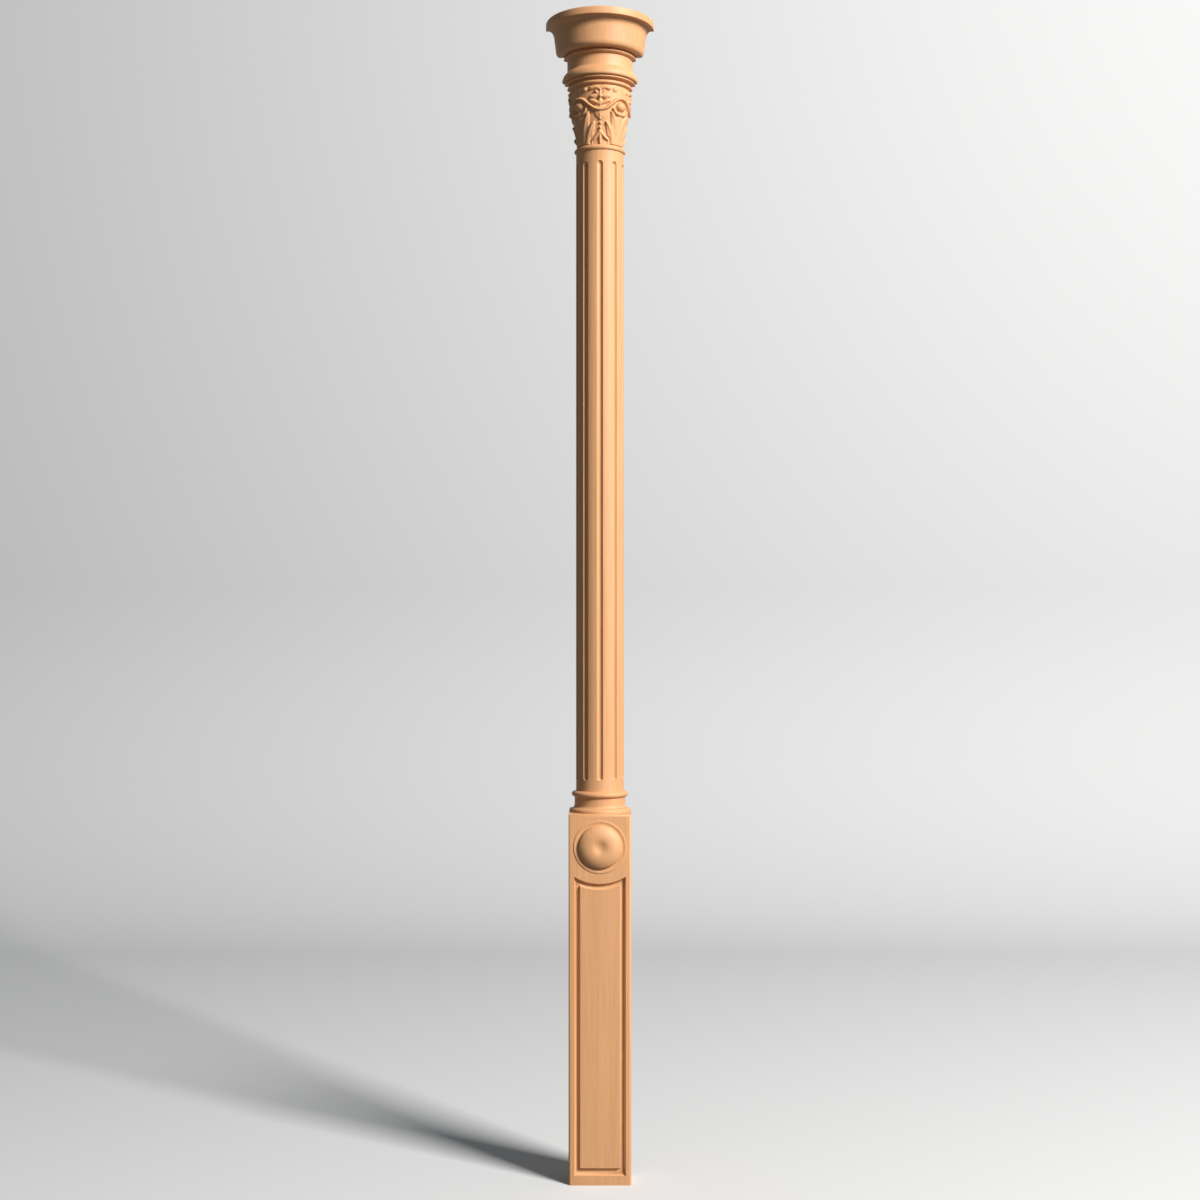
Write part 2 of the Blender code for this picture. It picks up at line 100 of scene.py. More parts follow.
def curve(profile, radius, height, start, end, steps=7):
    # an arc whose direction turns from start to end: 0 is outwards, 90 is up
    radiusStart, heightStart = profile[-1]
    first, last = math.radians(start), math.radians(end)
    for step in range(1, steps + 1):
        angle = first + (last - first) * step / steps
        out = (math.sin(angle) - math.sin(first)) / (math.sin(last) - math.sin(first))
        up = (math.cos(first) - math.cos(angle)) / (math.cos(first) - math.cos(last))
        profile.append((radiusStart + (radius - radiusStart) * out, heightStart + height * up))


def bead(profile, crest, end, height, steps=5):
    curve(profile, crest, height / 2, 0, 90, steps)
    curve(profile, end, height / 2, 90, 180, steps)


def quadratic(start, bend, end, share):
    # a point or points of the curve from start to end that leans towards bend
    return start * (1 - share) ** 2 + bend * 2 * share * (1 - share) + end * share**2


def easeCorners(profile, size, turn=25.0, steps=3, closest=1e-5, mostOfSide=0.45):
    # replaces each sharp corner by a small curve, as fine sanding leaves it
    kept = [np.array(profile[0])]
    for point in profile[1:]:
        if math.dist(point, kept[-1]) > closest:
            kept.append(np.array(point))
    eased = [kept[0]]
    for before, corner, after in zip(kept, kept[1:], kept[2:]):
        back, ahead = before - corner, after - corner
        backLength, aheadLength = np.linalg.norm(back), np.linalg.norm(ahead)
        cosine = np.clip(-(back @ ahead) / (backLength * aheadLength), -1.0, 1.0)
        if math.degrees(math.acos(cosine)) < turn:
            eased.append(corner)
            continue
        start = corner + back / backLength * min(size, backLength * mostOfSide)
        end = corner + ahead / aheadLength * min(size, aheadLength * mostOfSide)
        shares = np.linspace(0.0, 1.0, steps + 1)
        eased += [quadratic(start, corner, end, share) for share in shares]
    return [*eased, kept[-1]]


# column: turned foot, shaft and crown
# A part's proud is how far it stands out from the shaft, and its turn the direction where its
# curve ends.

columnSizes = {
    "height": 2.200,
    "pedestalHeight": 0.696,
    "pedestalWidth": 0.118,
    "pedestalDepth": 0.059,
    "axisBehindBack": 0.006,
    "shaftRadius": 0.046,
    "easedEdge": 0.0006,
    "halfSpread": 99.0,
    "segments": 264,
    "overlap": 0.05,
    "topInset": 0.01,
    "footDisc": {"inset": 0.0005, "face": 0.0030, "shoulder": 0.0050, "seat": 0.0040},
    "footCove": {"height": 0.0066, "reach": 0.0040, "turns": (175, 90)},
    "footNeck": {"height": 0.0138, "proud": 0.0028},
    "footBead": {"height": 0.0118, "proud": 0.0084},
    "astragal": {"height": 0.0095, "proud": 0.0034},
    "bell": {
        "height": 0.1105,
        "footRadius": 0.0445,
        "headRadius": 0.0575,
        "curve": 1.4,
        "rows": 180,
    },
    "bellRim": {"height": 0.0072, "proud": 0.0170},
    "rimGroove": {"height": 0.0025, "proud": 0.0135},
    "upperRing": {"height": 0.0044, "proud": 0.0220},
    "quirk": {"height": 0.0009, "proud": 0.0203},
    "lip": {"height": 0.0038, "proud": 0.0264, "round": 0.0030},
    "flare": {"height": 0.0150, "headProud": 0.0182, "turn": 132},
    "cavetto": {"height": 0.0034, "turn": 92, "steps": 4},
    "frieze": {"height": 0.0203, "proud": 0.0167},
    "crownBead": {"height": 0.0065, "proud": 0.0236},
    "crownGap": {"height": 0.0015},
    "ovolo": {"height": 0.0100, "soffitProud": 0.0310, "proud": 0.0384, "turn": 84},
    "crownFace": {"height": 0.0250, "proud": 0.0415},
    "crownCove": {"height": 0.0155, "proud": 0.0510, "turns": (82, 8)},
    "rim": {"height": 0.0140, "proud": 0.0574, "edge": 0.0010},
}

backY = columnSizes["pedestalDepth"] / 2
frontY = -columnSizes["pedestalDepth"] / 2
axisY = backY + columnSizes["axisBehindBack"]
shaft = columnSizes["shaftRadius"]
shaftFoot = columnSizes["pedestalHeight"] + sum((
    columnSizes["footDisc"]["face"],
    columnSizes["footDisc"]["shoulder"],
    columnSizes["footCove"]["height"],
    columnSizes["footNeck"]["height"],
    columnSizes["footBead"]["height"],
))
shaftHead = columnSizes["height"] - sum(columnSizes[part]["height"] for part in (
    "astragal", "bell", "bellRim", "rimGroove", "upperRing", "quirk", "lip", "flare", "cavetto",
    "frieze", "crownBead", "crownGap", "ovolo", "crownFace", "crownCove", "rim",
))
bellFoot = shaftHead + columnSizes["astragal"]["height"]
bellHead = bellFoot + columnSizes["bell"]["height"]


def face(part):
    # the radius of a turned part
    return shaft + columnSizes[part]["proud"]


def footProfile():
    s = columnSizes
    disc, cove = s["footDisc"], s["footCove"]
    radius = math.hypot(s["pedestalWidth"] / 2 - disc["inset"], s["axisBehindBack"])
    profile = [(radius, s["pedestalHeight"] - disc["seat"])]
    straight(profile, radius, disc["seat"] + disc["face"])
    curve(profile, radius - disc["shoulder"], disc["shoulder"], 90, 180)
    straight(profile, face("footNeck") + cove["reach"], 0.0)
    curve(profile, face("footNeck"), cove["height"], *cove["turns"])
    straight(profile, face("footNeck"), s["footNeck"]["height"])
    bead(profile, face("footBead"), shaft, s["footBead"]["height"])
    return profile


def astragalProfile():
    s = columnSizes
    profile = [(shaft, shaftHead)]
    bead(profile, face("astragal"), s["bell"]["footRadius"], s["astragal"]["height"])
    return profile


def crownProfile():
    s = columnSizes
    profile = [(s["bell"]["headRadius"], bellHead)]
    bead(profile, face("bellRim"), face("rimGroove"), s["bellRim"]["height"])
    straight(profile, face("rimGroove"), s["rimGroove"]["height"])
    bead(profile, face("upperRing"), face("quirk"), s["upperRing"]["height"])
    straight(profile, face("quirk"), s["quirk"]["height"])
    straight(profile, face("lip") - s["lip"]["round"], 0.0)
    curve(profile, face("lip"), s["lip"]["height"], 0, 90)
    turn, cavetto = s["flare"]["turn"], s["cavetto"]
    curve(profile, shaft + s["flare"]["headProud"], s["flare"]["height"], 90, turn)
    curve(profile, face("frieze"), cavetto["height"], turn, cavetto["turn"], cavetto["steps"])
    straight(profile, face("frieze"), s["frieze"]["height"])
    bead(profile, face("crownBead"), face("quirk"), s["crownBead"]["height"])
    straight(profile, face("quirk"), s["crownGap"]["height"])
    straight(profile, shaft + s["ovolo"]["soffitProud"], 0.0)
    curve(profile, face("ovolo"), s["ovolo"]["height"], 0, s["ovolo"]["turn"])
    straight(profile, face("crownFace"), s["crownFace"]["height"])
    curve(profile, face("crownCove"), s["crownCove"]["height"], *s["crownCove"]["turns"])
    edge = s["rim"]["edge"]
    straight(profile, face("rim") - edge, 0.0)
    straight(profile, face("rim"), edge)
    straight(profile, face("rim"), s["rim"]["height"] - 2 * edge)
    straight(profile, face("rim") - edge, edge)
    return profile


# capital: leaves, volutes, stems and flower carved on the bell
# Places are (across from a front's centre line, up from the bell's foot). They, and all widths and
# reliefs here, are shares of the bell's height. A petal is (turn from upright, reach, half width),
# and tipward moves its widest place outwards.

capitalCarving = {
    "swag": {
        "path": [
            (0.0, 0.565), (0.05, 0.572), (0.10, 0.593), (0.167, 0.644),
            (0.225, 0.700), (0.283, 0.750), (0.345, 0.776),
        ],
        "halfWidth": 0.026,
        "relief": 0.054,
    },
    "cup": {
        "path": [(0.225, 0.590), (0.243, 0.545), (0.285, 0.513), (0.37, 0.502)],
        "halfWidth": 0.024,
        "relief": 0.050,
    },
    "eye": {"up": 0.638, "radius": 0.078, "relief": 0.070},
    "flower": {
        "up": 0.787,
        "petals": [(40.0, 0.115, 0.038), (90.0, 0.148, 0.050), (180.0, 0.140, 0.040)],
        "rootWidth": 0.35,
        "tipward": 1.4,
        "bluntAt": 0.93,
        "roundness": 0.8,
        "rootRelief": 0.8,
        "tipRelief": 0.35,
        "relief": 0.038,
    },
    "sepal": {
        "path": [(0.018, 0.668), (0.060, 0.682), (0.105, 0.706), (0.150, 0.722)],
        "halfWidth": 0.034,
        "relief": 0.040,
    },
    "knob": {"radius": 0.034, "relief": 0.062},
    "bow": {
        "path": [(0.020, 0.925), (0.075, 0.942), (0.150, 0.928)],
        "halfWidth": 0.036,
        "relief": 0.036,
    },
    "pistil": {
        "path": [(0.0, 0.80), (0.0, 0.85), (0.0, 0.90)],
        "halfWidth": 0.017,
        "relief": 0.050,
    },
    "bud": {"place": (0.255, 0.915), "radius": 0.040, "relief": 0.026},
    "beads": {
        "upsAndRadii": [(0.480, 0.017), (0.420, 0.020), (0.350, 0.023), (0.270, 0.030)],
        "relief": 0.040,
    },
    "calyx": [
        {
            "line": [(0.0, 0.59), (0.0, 0.53), (0.0, 0.41)],
            "halfWidth": 0.100,
            "relief": (0.030, 0.026),
        },
    ],
    "husk": [
        {
            "line": [(0.0, 0.215), (0.0, 0.11), (0.0, 0.0)],
            "halfWidth": 0.036,
            "relief": (0.036, 0.034),
        },
        {
            "line": [(0.0, 0.215), (0.058, 0.120), (0.146, 0.060)],
            "halfWidth": 0.030,
            "relief": (0.040, 0.036),
        },
    ],
    "leaves": [
        {
            "line": [(0.285, -0.10), (0.31, 0.25), (0.345, 0.57)],
            "halfWidth": 0.095,
            "relief": (0.022, 0.026),
        },
        {
            "line": [(0.250, -0.10), (0.305, 0.28), (0.186, 0.552)],
            "halfWidth": 0.086,
            "relief": (0.026, 0.046),
        },
        {
            "line": [(0.222, -0.10), (0.212, 0.22), (0.092, 0.378)],
            "halfWidth": 0.086,
            "relief": (0.028, 0.050),
        },
    ],
    "leafRib": 0.25,
    "leafPoint": 0.7,
    "fold": {
        "path": [
            (0.0, 0.255), (0.050, 0.203), (0.100, 0.153),
            (0.146, 0.106), (0.155, 0.055), (0.156, -0.02),
        ],
        "halfWidth": 0.017,
    },
    "endFade": 0.012,
    "softening": 2,
}


def bellRadius(up):
    bell = columnSizes["bell"]
    grown = np.sin(math.pi / 2 * up) ** bell["curve"]
    return bell["footRadius"] + (bell["headRadius"] - bell["footRadius"]) * grown


def acrossFront(angle, radius):
    # how far across the nearest of the capital's four fronts an angle lies
    quarter = math.pi / 2
    fromFront = np.abs(angle - quarter * np.round(angle / quarter))
    return radius * np.sin(fromFront) / columnSizes["bell"]["height"]


def midline(leaf, steps=24):
    base, bend, tip = (np.array(point) for point in leaf["line"])
    return quadratic(base, bend, tip, np.linspace(0.0, 1.0, steps)[:, None])


def smoothPath(points, steps=8):
    pts = [np.array(point) for point in points]
    pts = [2 * pts[0] - pts[1], *pts, 2 * pts[-1] - pts[-2]]
    path = []
    for a, b, c, d in zip(pts, pts[1:], pts[2:], pts[3:]):
        for t in np.arange(steps) / steps:
            bend = (2 * a - 5 * b + 4 * c - d) * t**2 + (3 * b - a - 3 * c + d) * t**3
            path.append(0.5 * (2 * b + (c - a) * t + bend))
    return np.array([*path, pts[-2]])


def along(path, across, up):
    # for each place, the share of the path's length at its nearest point, and the distance to it
    bestDistance = np.full_like(across, np.inf)
    bestShare = np.zeros_like(across)
    lengths = np.linalg.norm(np.diff(path, axis=0), axis=1)
    travelled = 0.0
    for start, end, length in zip(path, path[1:], lengths):
        step = end - start
        reached = (across - start[0]) * step[0] + (up - start[1]) * step[1]
        part = np.clip(reached / length**2, 0.0, 1.0)
        distance = np.hypot(across - start[0] - part * step[0], up - start[1] - part * step[1])
        nearer = distance < bestDistance
        bestDistance = np.where(nearer, distance, bestDistance)
        bestShare = np.where(nearer, (travelled + part * length) / lengths.sum(), bestShare)
        travelled += length
    return bestShare, bestDistance


def dome(share):
    # rounded swelling: 1 in the middle, 0 at share 1
    return np.sqrt(np.clip(1.0 - share**2, 0.0, 1.0))


def carveLeaf(leaf, across, up):
    share, distance = along(midline(leaf), across, up)
    taper = np.clip(1.0 - share**3, 0.0, 1.0) ** capitalCarving["leafPoint"]
    out = distance / (leaf["halfWidth"] * taper + tiny)
    rib = 1.0 - capitalCarving["leafRib"] * np.sin(math.pi * np.clip(out, 0.0, 1.0)) ** 2
    low, high = leaf["relief"]
    return (low + (high - low) * share**2) * dome(out) * rib


def acrossRoll(roll, across, up):
    return dome(along(smoothPath(roll["path"]), across, up)[1] / roll["halfWidth"])


def carveBall(centre, radius, relief, across, up):
    return relief * dome(np.hypot(across - centre[0], up - centre[1]) / radius)


def carvePetal(turn, reach, halfWidth, across, up):
    flower, knob = capitalCarving["flower"], capitalCarving["knob"]
    way = np.array([math.sin(math.radians(turn)), math.cos(math.radians(turn))])
    centre = np.array([0.0, flower["up"]])
    path = np.array([centre + way * knob["radius"] / 2, centre + way * reach])
    share, distance = along(path, across, up)
    reached = np.minimum(share, flower["bluntAt"]) ** flower["tipward"]
    swell = np.sin(math.pi * reached) ** flower["roundness"]
    width = halfWidth * (flower["rootWidth"] + (1 - flower["rootWidth"]) * swell)
    height = flower["rootRelief"] + flower["tipRelief"] * share
    return flower["relief"] * dome(distance / width) * height


def bellRelief(across, up):
    c = capitalCarving
    flower, knob, eye, beads, bud = c["flower"], c["knob"], c["eye"], c["beads"], c["bud"]
    corner = bellRadius(eye["up"]) * math.sin(math.pi / 4) / columnSizes["bell"]["height"]
    balls = [
        ((0.0, flower["up"]), knob["radius"], knob["relief"]),
        ((corner, eye["up"]), eye["radius"], eye["relief"]),
        (bud["place"], bud["radius"], bud["relief"]),
    ]
    balls += [((0.0, height), radius, beads["relief"]) for height, radius in beads["upsAndRadii"]]
    details = [carveLeaf(leaf, across, up) for leaf in (*c["husk"], *c["calyx"])]
    details += [carveBall(*ball, across, up) for ball in balls]
    details += [carvePetal(*petal, across, up) for petal in flower["petals"]]
    for name in ("swag", "cup", "bow", "pistil", "sepal"):
        details.append(c[name]["relief"] * acrossRoll(c[name], across, up))
    relief = np.max([carveLeaf(leaf, across, up) for leaf in c["leaves"]], axis=0)
    relief *= 1.0 - acrossRoll(c["fold"], across, up)
    relief = np.maximum(relief, np.max(details, axis=0))
    return relief * np.clip(np.minimum(up, 1.0 - up) / c["endFade"], 0.0, 1.0)


def soften(heights, passes):
    # evens out the tool marks between neighbouring points
    for _ in range(passes):
        padded = np.pad(heights, 1, mode="edge")
        heights = (padded[:-2, 1:-1] + 2 * padded[1:-1, 1:-1] + padded[2:, 1:-1]) / 4
        padded = np.pad(heights, 1, mode="edge")
        heights = (padded[1:-1, :-2] + 2 * padded[1:-1, 1:-1] + padded[1:-1, 2:]) / 4
    return heights


def frontAngles():
    # angles round the column's axis from one side to the other, a little past the back
    spread = columnSizes["halfSpread"]
    return np.radians(np.linspace(-spread, spread, columnSizes["segments"] + 1))


def arcs(profile):
    return [
        [(radius * math.sin(a), axisY - radius * math.cos(a), z) for a in frontAngles()]
        for radius, z in profile
    ]


def bellRings():
    bell = columnSizes["bell"]
    angle, up = np.meshgrid(frontAngles(), np.linspace(0.0, 1.0, bell["rows"] + 1))
    ground = bellRadius(up)
    relief = soften(bellRelief(acrossFront(angle, ground), up), capitalCarving["softening"])
    relief[[0, -1]] = 0.0
    radius = ground + bell["height"] * relief
    x, y = radius * np.sin(angle), axisY - radius * np.cos(angle)
    z = bellFoot + bell["height"] * up
    return [list(zip(x[i], y[i], z[i])) for i in range(len(z))]


def makeColumn():
    bm = bmesh.new()
    ease, overlap = columnSizes["easedEdge"], columnSizes["overlap"]
    foot, head, crown = footProfile(), astragalProfile(), crownProfile()
    foot.append((shaft, shaftFoot + overlap))
    head.insert(0, (shaft, shaftHead - overlap))
    crown.append((crown[-1][0] - columnSizes["topInset"], crown[-1][1]))
    rings = arcs(easeCorners(foot, ease))
    rings += arcs(easeCorners(head, ease)[:-1])
    rings += bellRings()
    rings += arcs(easeCorners(crown, ease)[1:-1])
    skin(bm, rings)
    return newObject("columnTurning", bm)


# flutes: round-ended channels in the shaft

fluteSizes = {
    "count": 5,
    "pitch": 36.0,
    "width": 0.0118,
    "depth": 0.0042,
    "footMargin": 0.0210,
    "headMargin": 0.0205,
    "sides": 64,
    "endSteps": 16,
    "endTurn": 80,
}


def makeFluteCutter():
    width, depth = fluteSizes["width"], fluteSizes["depth"]
    radius = (width**2 / 4 + depth**2) / (2 * depth)
    centre = shaft - depth + radius
    low = shaftFoot + fluteSizes["footMargin"] + width / 2
    high = shaftHead - fluteSizes["headMargin"] - width / 2
    tilts = np.linspace(0, fluteSizes["endTurn"], fluteSizes["endSteps"])
    ends = [(low, -tilt) for tilt in tilts[::-1]] + [(high, tilt) for tilt in tilts]
    bm = bmesh.new()
    for index in range(fluteSizes["count"]):
        turn = math.radians(fluteSizes["pitch"] * (index - (fluteSizes["count"] - 1) / 2))
        x, y = centre * math.sin(turn), axisY - centre * math.cos(turn)
        sides = turn + around(fluteSizes["sides"])
        rings = []
        for middle, tilt in ends:
            size = radius * math.cos(math.radians(tilt))
            z = middle + radius * math.sin(math.radians(tilt))
            rings.append([(x + size * math.cos(a), y + size * math.sin(a), z) for a in sides])
        skin(bm, rings)
    return newObject("fluteCutter", bm)


# pedestal: eased block with a channelled field and a roundel

pedestalSizes = {
    "edge": 0.0045,
    "edgeSegments": 8,
    "sawAllowance": 0.014,
    "stile": 0.0106,
    "bottomRail": 0.0178,
    "archRadius": 0.094,
    "archBelowTop": 0.130,
    "archSteps": 48,
    "channelDepth": 0.0065,
    "channelSide": 0.0114,
    "channelBottom": 0.0146,
    "channelTop": 0.0120,
    "fieldBelowFace": 0.0006,
}

roundelSizes = {
    "belowTop": 0.0610,
    "radius": 0.0498,
    "seat": 0.0060,
    "rimHeight": 0.0014,
    "rimWidth": 0.0044,
    "rimFace": 0.6,
    "grooveHeight": 0.0004,
    "grooveWidth": 0.0042,
    "grooveTurn": 208,
    "sideHeight": 0.0064,
    "sideWidth": 0.0030,
    "sideTurns": (100, 145),
    "domeHeight": 0.0136,
    "domeTurn": 146,
    "crestRadius": 0.0178,
    "dimpleDepth": 0.0036,
    "dimpleCurve": 2.5,
    "segments": 144,
}


def makeBlock():
    bm = bmesh.new()
    half = columnSizes["pedestalWidth"] / 2
    behind = backY + pedestalSizes["sawAllowance"]
    outline = [(-half, frontY), (half, frontY), (half, behind), (-half, behind)]
    skin(bm, [[(x, y, z) for x, y in outline] for z in (0.0, columnSizes["pedestalHeight"])])
    front = [edge for edge in bm.edges if all(abs(v.co.y - frontY) < tiny for v in edge.verts)]
    eased = [edge for edge in front if any(v.co.z > tiny for v in edge.verts)]
    bmesh.ops.bevel(
        bm, geom=eased, offset=pedestalSizes["edge"], segments=pedestalSizes["edgeSegments"],
        profile=0.5, affect="EDGES",
    )
    return newObject("carvedPilaster", bm)


def panelOutline(share, y):
    # the outline at a share of the channel's width; its top edge dips in an arc under the roundel
    p = pedestalSizes
    half = columnSizes["pedestalWidth"] / 2 - p["stile"] - p["channelSide"] * share
    radius = p["archRadius"] + p["channelTop"] * share
    centre = columnSizes["pedestalHeight"] - p["archBelowTop"] + p["archRadius"]
    reach = math.asin(half / radius)
    arch = [
        (radius * math.sin(a), y, centre - radius * math.cos(a))
        for a in np.linspace(reach, -reach, p["archSteps"] + 1)
    ]
    foot = p["bottomRail"] + p["channelBottom"] * share
    return [(-half, y, foot), (half, y, foot), *arch]


def makePanelCutter():
    # the channel's section is round, from the stile's edge to the field
    depth = pedestalSizes["channelDepth"]
    section = [(0.0, -depth), (0.0, 0.0)]
    for angle in np.radians(np.arange(20, 161, 10)):
        section.append((0.5 - 0.5 * math.cos(angle), depth * math.sin(angle)))
    section.append((1.0, pedestalSizes["fieldBelowFace"]))
    bm = bmesh.new()
    skin(bm, [panelOutline(share, frontY + deep) for share, deep in section])
    return newObject("panelCutter", bm)


def roundelProfile():
    r = roundelSizes
    rimInside = r["radius"] - r["rimWidth"]
    side = rimInside - r["grooveWidth"]
    fall = (r["rimHeight"] - r["grooveHeight"]) / 2
    profile = [(r["radius"], -r["seat"])]
    faceHeight = r["rimHeight"] * r["rimFace"]
    straight(profile, r["radius"], r["seat"] + faceHeight)
    curve(profile, r["radius"] - r["rimWidth"] / 2, r["rimHeight"] - faceHeight, 90, 180, 6)
    curve(profile, rimInside, -fall, 180, r["grooveTurn"], 6)
    curve(profile, side, -fall, r["grooveTurn"], 182, 6)
    curve(profile, side - r["sideWidth"], r["sideHeight"], *r["sideTurns"], 6)
    curve(profile, r["crestRadius"], r["domeHeight"] - r["sideHeight"], r["domeTurn"], 180, 20)
    crest = profile[-1][1]
    for share in np.linspace(0.95, 0.05, 14):
        depth = r["dimpleDepth"] * (1 - share**2) ** r["dimpleCurve"]
        profile.append((r["crestRadius"] * share, crest - depth))
    return easeCorners(profile, columnSizes["easedEdge"])


def makeRoundel():
    bm = bmesh.new()
    centre = columnSizes["pedestalHeight"] - roundelSizes["belowTop"]
    skin(bm, [
        [
            (radius * math.cos(a), frontY - height, centre + radius * math.sin(a))
            for a in around(roundelSizes["segments"])
        ]
        for radius, height in roundelProfile()
    ])
    return newObject("roundelBoss", bm)


def sawFlat(obj):
    # cuts everything behind the flat back and closes the cut
    bm = bmesh.new()
    bm.from_mesh(obj.data)
    cut = bmesh.ops.bisect_plane(
        bm, geom=[*bm.verts, *bm.edges, *bm.faces], dist=1e-7,
        plane_co=(0.0, backY, 0.0), plane_no=(0.0, 1.0, 0.0), clear_outer=True,
    )
    edges = [item for item in cut["geom_cut"] if isinstance(item, bmesh.types.BMEdge)]
    bmesh.ops.holes_fill(bm, edges=edges, sides=0)
    bmesh.ops.recalc_face_normals(bm, faces=bm.faces)
    bm.to_mesh(obj.data)
    bm.free()


column = makeColumn()
combine(column, makeFluteCutter(), "DIFFERENCE")
print("column turned and fluted")
pilaster = makeBlock()
combine(pilaster, makePanelCutter(), "DIFFERENCE")
combine(pilaster, makeRoundel(), "UNION")
print("pedestal carved")
combine(pilaster, column, "UNION")
sawFlat(pilaster)
pilaster.data.shade_smooth()
sharpAngle = 55
pilaster.data.set_sharp_from_angle(angle=math.radians(sharpAngle))
pilaster.data.calc_loop_triangles()
print("pilaster joined:", len(pilaster.data.loop_triangles), "triangles")


# wood

woodLook = {
    "light": (0.715, 0.375, 0.172),
    "dark": (0.585, 0.285, 0.124),
    "fibreScale": 260.0,
    "figureScale": 16.0,
    "fibreDetail": 4.0,
    "figureDetail": 3.0,
    "stretch": 0.035,
    "figure": 0.55,
    "contrast": (0.32, 0.68),
    "roughness": 0.50,
    "roughnessChange": 0.10,
    "specular": 0.4,
    "bumpStrength": 0.25,
    "bumpDistance": 0.0004,
}


def makeGrainGroup():
    # upright fibres and a broader figure, both drawn from noise that is stretched along Z
    group = bpy.data.node_groups.new("woodGrain", "ShaderNodeTree")
    sockets = (
        ("Light Color", "INPUT", "NodeSocketColor"),
        ("Dark Color", "INPUT", "NodeSocketColor"),
        ("Fibre Scale", "INPUT", "NodeSocketFloat"),
        ("Figure Scale", "INPUT", "NodeSocketFloat"),
        ("Figure Amount", "INPUT", "NodeSocketFloat"),
        ("Stretch", "INPUT", "NodeSocketFloat"),
        ("Roughness", "INPUT", "NodeSocketFloat"),
        ("Roughness Change", "INPUT", "NodeSocketFloat"),
        ("Color", "OUTPUT", "NodeSocketColor"),
        ("Roughness", "OUTPUT", "NodeSocketFloat"),
        ("Height", "OUTPUT", "NodeSocketFloat"),
    )
    for name, way, kind in sockets:
        group.interface.new_socket(name, in_out=way, socket_type=kind)
    nodes, links = group.nodes, group.links
    given, result = nodes.new("NodeGroupInput"), nodes.new("NodeGroupOutput")
    place = nodes.new("ShaderNodeTexCoord")
    apart = nodes.new("ShaderNodeSeparateXYZ")
    links.new(place.outputs["Object"], apart.inputs[0])
    short = nodes.new("ShaderNodeMath")
    short.operation = "MULTIPLY"
    links.new(apart.outputs["Z"], short.inputs[0])
    links.new(given.outputs["Stretch"], short.inputs[1])
    joined = nodes.new("ShaderNodeCombineXYZ")
    links.new(apart.outputs["X"], joined.inputs["X"])
    links.new(apart.outputs["Y"], joined.inputs["Y"])
    links.new(short.outputs[0], joined.inputs["Z"])
    noises = {}
    for name, detail in (("Fibre Scale", "fibreDetail"), ("Figure Scale", "figureDetail")):
        noise = nodes.new("ShaderNodeTexNoise")
        noise.inputs["Detail"].default_value = woodLook[detail]
        links.new(joined.outputs[0], noise.inputs["Vector"])
        links.new(given.outputs[name], noise.inputs["Scale"])
        noises[name] = noise
    blend = nodes.new("ShaderNodeMix")
    links.new(given.outputs["Figure Amount"], blend.inputs["Factor"])
    links.new(noises["Fibre Scale"].outputs["Fac"], blend.inputs["A"])
    links.new(noises["Figure Scale"].outputs["Fac"], blend.inputs["B"])
    spread = nodes.new("ShaderNodeMapRange")
    spread.inputs["From Min"].default_value = woodLook["contrast"][0]
    spread.inputs["From Max"].default_value = woodLook["contrast"][1]
    links.new(blend.outputs["Result"], spread.inputs["Value"])
    tint = nodes.new("ShaderNodeMix")
    tint.data_type = "RGBA"
    links.new(spread.outputs["Result"], tint.inputs["Factor"])
    links.new(given.outputs["Dark Color"], tint.inputs["A"])
    links.new(given.outputs["Light Color"], tint.inputs["B"])
    links.new(tint.outputs["Result"], result.inputs["Color"])
    rough = nodes.new("ShaderNodeMath")
    rough.operation = "MULTIPLY_ADD"
    links.new(noises["Fibre Scale"].outputs["Fac"], rough.inputs[0])
    links.new(given.outputs["Roughness Change"], rough.inputs[1])
    links.new(given.outputs["Roughness"], rough.inputs[2])
    links.new(rough.outputs[0], result.inputs["Roughness"])
    links.new(noises["Fibre Scale"].outputs["Fac"], result.inputs["Height"])
    return group


def makeWood(grain):
    material = bpy.data.materials.new("sandedWood")
    material.use_nodes = True
    nodes, links = material.node_tree.nodes, material.node_tree.links
    shader = nodes["Principled BSDF"]
    placed = nodes.new("ShaderNodeGroup")
    placed.node_tree = grain
    settings = {
        "Light Color": (*woodLook["light"], 1.0),
        "Dark Color": (*woodLook["dark"], 1.0),
        "Fibre Scale": woodLook["fibreScale"],
        "Figure Scale": woodLook["figureScale"],
        "Figure Amount": woodLook["figure"],
        "Stretch": woodLook["stretch"],
        "Roughness": woodLook["roughness"],
        "Roughness Change": woodLook["roughnessChange"],
    }
    for socket, value in settings.items():
        placed.inputs[socket].default_value = value
    bump = nodes.new("ShaderNodeBump")
    bump.inputs["Strength"].default_value = woodLook["bumpStrength"]
    bump.inputs["Distance"].default_value = woodLook["bumpDistance"]
    links.new(placed.outputs["Color"], shader.inputs["Base Color"])
    links.new(placed.outputs["Roughness"], shader.inputs["Roughness"])
    links.new(placed.outputs["Height"], bump.inputs["Height"])
    links.new(bump.outputs["Normal"], shader.inputs["Normal"])
    shader.inputs["Specular IOR Level"].default_value = woodLook["specular"]
    return material


pilaster.data.materials.clear()
pilaster.data.materials.append(makeWood(makeGrainGroup()))
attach(pilaster, "root")
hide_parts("pilaster")
print("wood finished")


# studio: pale floor and backdrop, soft key light from the upper right

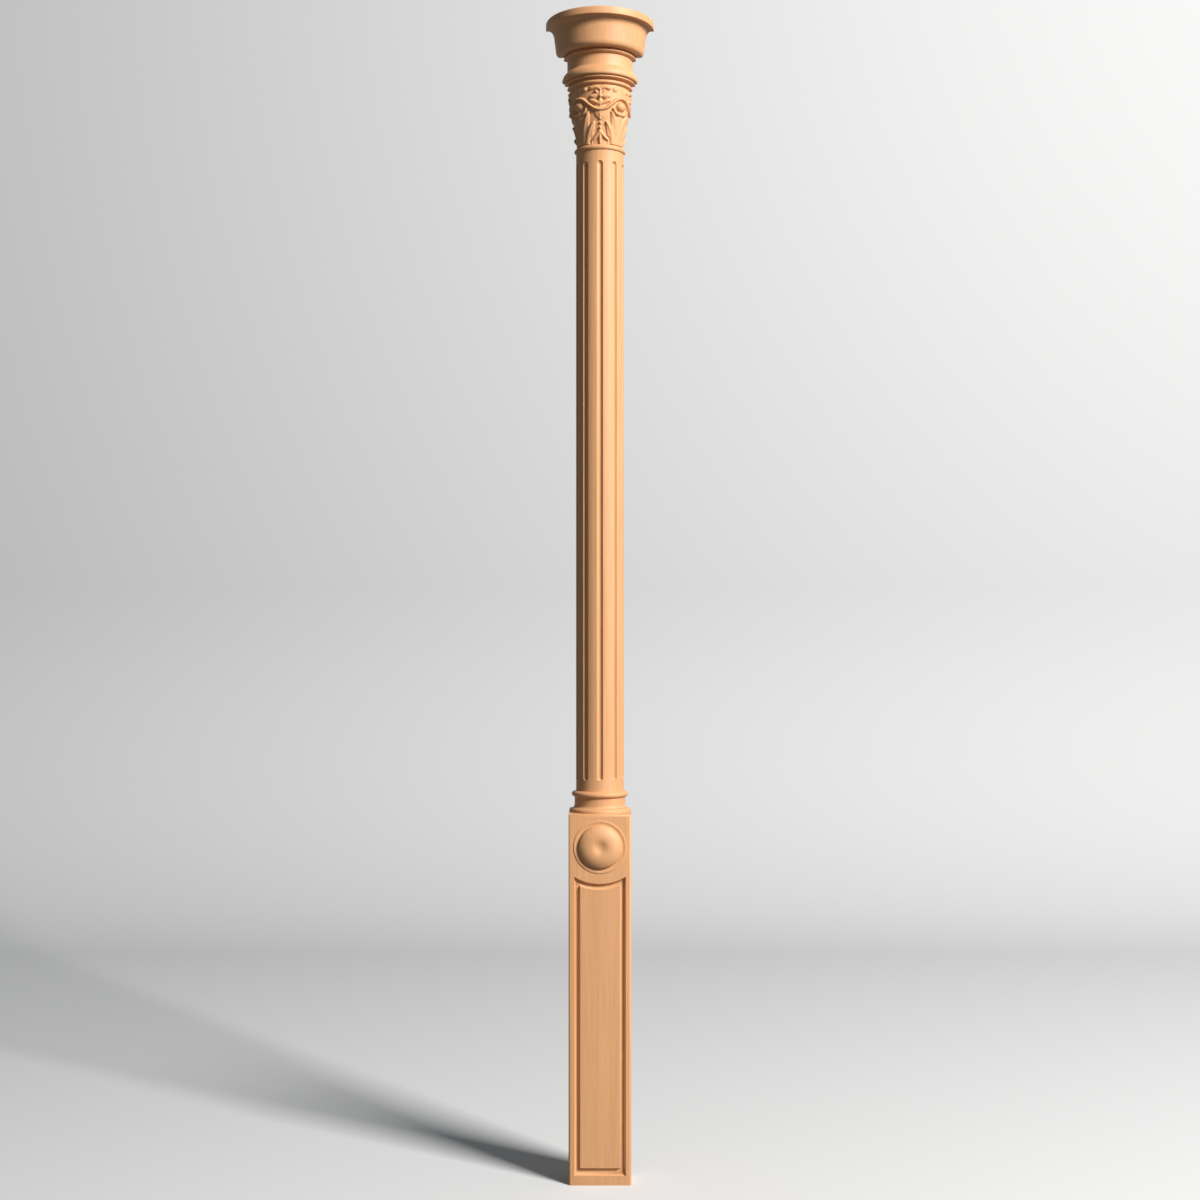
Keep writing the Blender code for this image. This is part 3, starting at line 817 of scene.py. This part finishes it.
studio = {
    "floorSize": 24.0,
    "floorColor": (0.66, 0.655, 0.645),
    "floorRoughness": 0.9,
    "sweepBehind": 2.2,
    "sweepRadius": 1.2,
    "wallHeight": 8.0,
    "worldColor": (0.86, 0.93, 1.0),
    "worldStrength": 0.15,
    "keyPlace": (5.2, -4.6, 5.4),
    "keySize": 2.2,
    "keyPower": 1250.0,
    "fillPlace": (-2.6, -2.6, 1.6),
    "fillSize": 3.0,
    "fillPower": 2.0,
    "aim": (0.0, 0.0, 1.25),
}

photoCamera = {
    "lens": 50.0,
    "sensor": 36.0,
    "distance": 3.186,
    "height": 1.048,
    "shiftUp": 27 / 1200,
}


def makeFloor():
    s = studio
    bm = bmesh.new()
    line = [(-s["floorSize"] / 2, 0.0), (s["sweepBehind"], 0.0)]
    for angle in np.radians(np.arange(10, 91, 10)):
        line.append((
            s["sweepBehind"] + s["sweepRadius"] * math.sin(angle),
            s["sweepRadius"] * (1 - math.cos(angle)),
        ))
    line.append((s["sweepBehind"] + s["sweepRadius"], s["wallHeight"]))
    half = s["floorSize"] / 2
    left, right = ([bm.verts.new((x, y, z)) for y, z in line] for x in (-half, half))
    for i in range(len(line) - 1):
        bm.faces.new((left[i], right[i], right[i + 1], left[i + 1]))
    floor = newObject("studioSweep", bm)
    floor.data.shade_smooth()
    material = bpy.data.materials.new("paleFloor")
    material.use_nodes = True
    shader = material.node_tree.nodes["Principled BSDF"]
    shader.inputs["Base Color"].default_value = (*s["floorColor"], 1.0)
    shader.inputs["Roughness"].default_value = s["floorRoughness"]
    floor.data.materials.append(material)
    # the pale floor throws no light back up into the carving, which keeps its hollows dark
    floor.visible_diffuse = False


def makeLight(name, place, size, power):
    data = bpy.data.lights.new(name, "AREA")
    data.size = size
    data.energy = power
    light = bpy.data.objects.new(name, data)
    light.location = place
    towards = Vector(studio["aim"]) - Vector(place)
    light.rotation_euler = towards.to_track_quat("-Z", "Y").to_euler()
    bpy.context.scene.collection.objects.link(light)


def makeCamera():
    data = bpy.data.cameras.new("photoView")
    data.lens = photoCamera["lens"]
    data.sensor_width = photoCamera["sensor"]
    data.shift_y = photoCamera["shiftUp"]
    camera = bpy.data.objects.new("photoView", data)
    camera.location = (0.0, backY - photoCamera["distance"], photoCamera["height"])
    camera.rotation_euler = (math.radians(90), 0.0, 0.0)
    bpy.context.scene.collection.objects.link(camera)
    bpy.context.scene.camera = camera


makeFloor()
makeLight("keyLight", studio["keyPlace"], studio["keySize"], studio["keyPower"])
makeLight("fillLight", studio["fillPlace"], studio["fillSize"], studio["fillPower"])
makeCamera()
world = bpy.data.worlds.new("studioWorld")
world.use_nodes = True
background = world.node_tree.nodes["Background"]
background.inputs["Color"].default_value = (*studio["worldColor"], 1.0)
background.inputs["Strength"].default_value = studio["worldStrength"]
bpy.context.scene.world = world
bpy.context.scene.view_settings.view_transform = "Standard"
print("studio lit")
